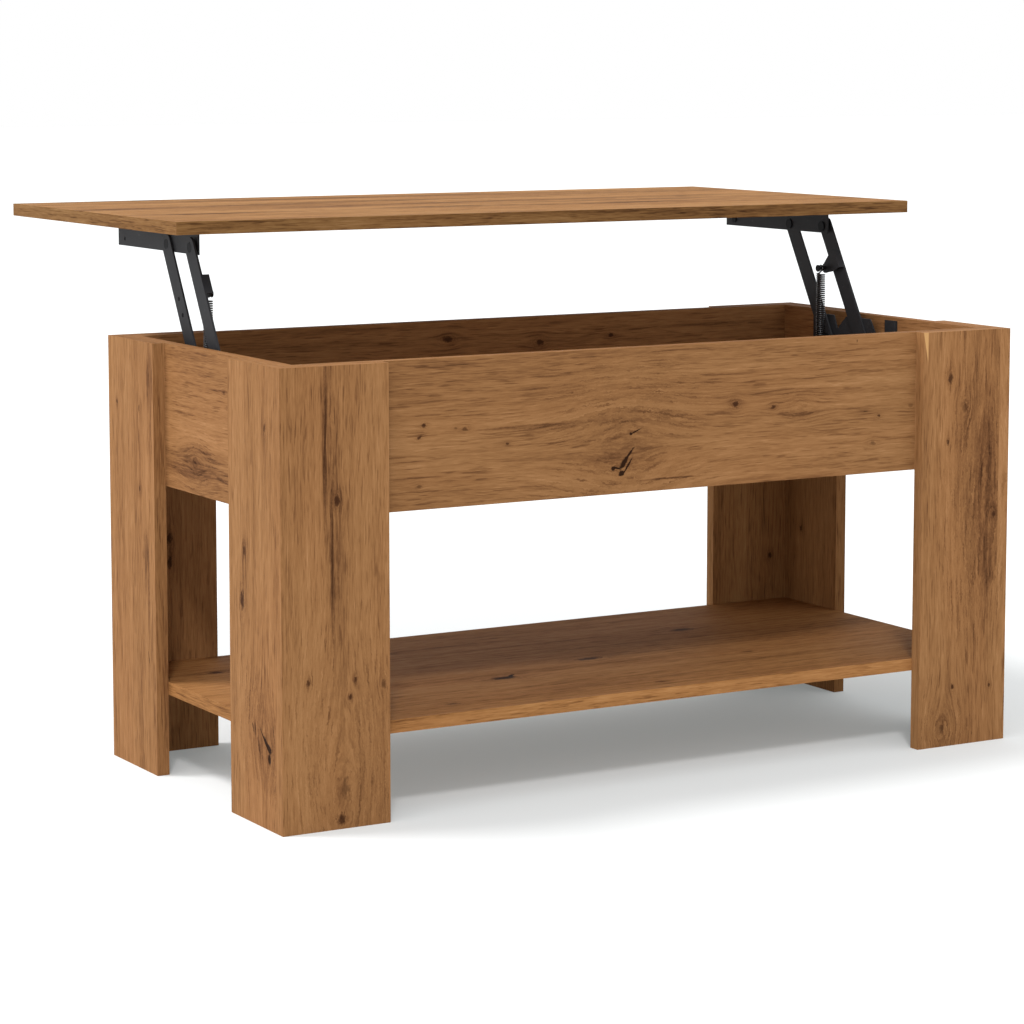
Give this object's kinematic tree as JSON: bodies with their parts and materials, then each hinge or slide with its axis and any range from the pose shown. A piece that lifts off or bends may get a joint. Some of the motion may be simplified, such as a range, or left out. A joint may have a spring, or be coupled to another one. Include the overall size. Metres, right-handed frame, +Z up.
{
  "type": "lift top coffee table",
  "caption": "Oak board coffee table with L-shaped legs, a low shelf and an open storage box under a top that lifts back on sprung steel arms.",
  "frame": {"origin": "on the floor, under the middle of the whole table's box with the top raised", "axes": "+X along the table, +Y the way the top moves as it rises, +Z up"},
  "size_m": [1.02, 0.7296, 0.656],
  "materials": {
    "oak": "matt wood-grain board",
    "black_steel": "satin powder coat",
    "zinc": "zinc plated",
    "beech": "plain beech"
  },
  "bodies": {
    "carcass": {"leg_front_left_face": "oak", "leg_front_left_side": "oak", "leg_front_right_face": "oak", "leg_front_right_side": "oak", "leg_back_left_face": "oak", "leg_back_left_side": "oak", "leg_back_right_face": "oak", "leg_back_right_side": "oak", "panel_front": "oak", "panel_back": "oak", "panel_left": "oak", "panel_right": "oak", "box_bottom": "oak", "shelf": "oak", "dowels": "beech", "cam_bolts": "zinc", "cam_discs": "zinc", "panel_screws": "zinc", "leg_screws": "zinc", "base_bracket_left": "black_steel", "base_rivets_left": "zinc", "base_screws_left": "zinc", "spring_anchor_left": "zinc", "base_bracket_right": "black_steel", "base_rivets_right": "zinc", "base_screws_right": "zinc", "spring_anchor_right": "zinc"},
    "top": {"tabletop": "oak", "top_rail_left": "black_steel", "top_rivets_left": "zinc", "top_screws_left": "zinc", "top_rail_right": "black_steel", "top_rivets_right": "zinc", "top_screws_right": "zinc"},
    "rear_arm_left": {"rear_arm_left": "black_steel"},
    "front_arm_left": {"front_arm_left": "black_steel", "spring_stud_left": "zinc"},
    "spring_left": {"spring_left": "zinc"},
    "spring_hook_left": {"spring_hook_left": "zinc"},
    "rear_arm_right": {"rear_arm_right": "black_steel"},
    "front_arm_right": {"front_arm_right": "black_steel", "spring_stud_right": "zinc"},
    "spring_right": {"spring_right": "zinc"},
    "spring_hook_right": {"spring_hook_right": "zinc"}
  },
  "joints": [
    {"name": "lift", "type": "hinge", "parent": "carcass", "child": "rear_arm_left", "pos_m": [-0.44765, -0.04935, 0.47636], "axis": [1, 0, 0], "range_deg": [0, 114.78]},
    {"name": "top_level", "type": "hinge", "parent": "rear_arm_left", "child": "top", "pos_m": [-0.44765, 0.0322, 0.6205], "axis": [1, 0, 0], "range_deg": [-114.78, 0]},
    {"name": "front_arm_left_swing", "type": "hinge", "parent": "carcass", "child": "front_arm_left", "pos_m": [-0.45055, -0.12185, 0.47636], "axis": [1, 0, 0], "range_deg": [0, 114.78]},
    {"name": "spring_left_swing", "type": "hinge", "parent": "front_arm_left", "child": "spring_left", "pos_m": [-0.4345, -0.05272, 0.56708], "axis": [1, 0, 0], "range_deg": [-48.02, 0], "deforming": ["spring_left"]},
    {"name": "spring_left_stretch", "type": "slide", "parent": "spring_left", "child": "spring_hook_left", "axis": [0, 0, -1], "range_m": [0, 0.0539], "deforming": ["spring_hook_left"]},
    {"name": "rear_arm_right_swing", "type": "hinge", "parent": "carcass", "child": "rear_arm_right", "pos_m": [0.44765, -0.04935, 0.47636], "axis": [1, 0, 0], "range_deg": [0, 114.78]},
    {"name": "front_arm_right_swing", "type": "hinge", "parent": "carcass", "child": "front_arm_right", "pos_m": [0.45055, -0.12185, 0.47636], "axis": [1, 0, 0], "range_deg": [0, 114.78]},
    {"name": "spring_right_swing", "type": "hinge", "parent": "front_arm_right", "child": "spring_right", "pos_m": [0.4345, -0.05272, 0.56708], "axis": [1, 0, 0], "range_deg": [-48.02, 0], "deforming": ["spring_right"]},
    {"name": "spring_right_stretch", "type": "slide", "parent": "spring_right", "child": "spring_hook_right", "axis": [0, 0, -1], "range_m": [0, 0.0539], "deforming": ["spring_hook_right"]}
  ],
  "couplings": [
    {"joint": "top_level", "follows": "lift", "ratio": -1},
    {"joint": "front_arm_left_swing", "follows": "lift", "ratio": 1},
    {"joint": "spring_left_swing", "follows": "lift", "ratio": -0.4166},
    {"joint": "spring_left_stretch", "follows": "lift", "m_per_rad": 0.026657},
    {"joint": "rear_arm_right_swing", "follows": "lift", "ratio": 1},
    {"joint": "front_arm_right_swing", "follows": "lift", "ratio": 1},
    {"joint": "spring_right_swing", "follows": "lift", "ratio": -0.4166},
    {"joint": "spring_right_stretch", "follows": "lift", "m_per_rad": 0.026657}
  ]
}
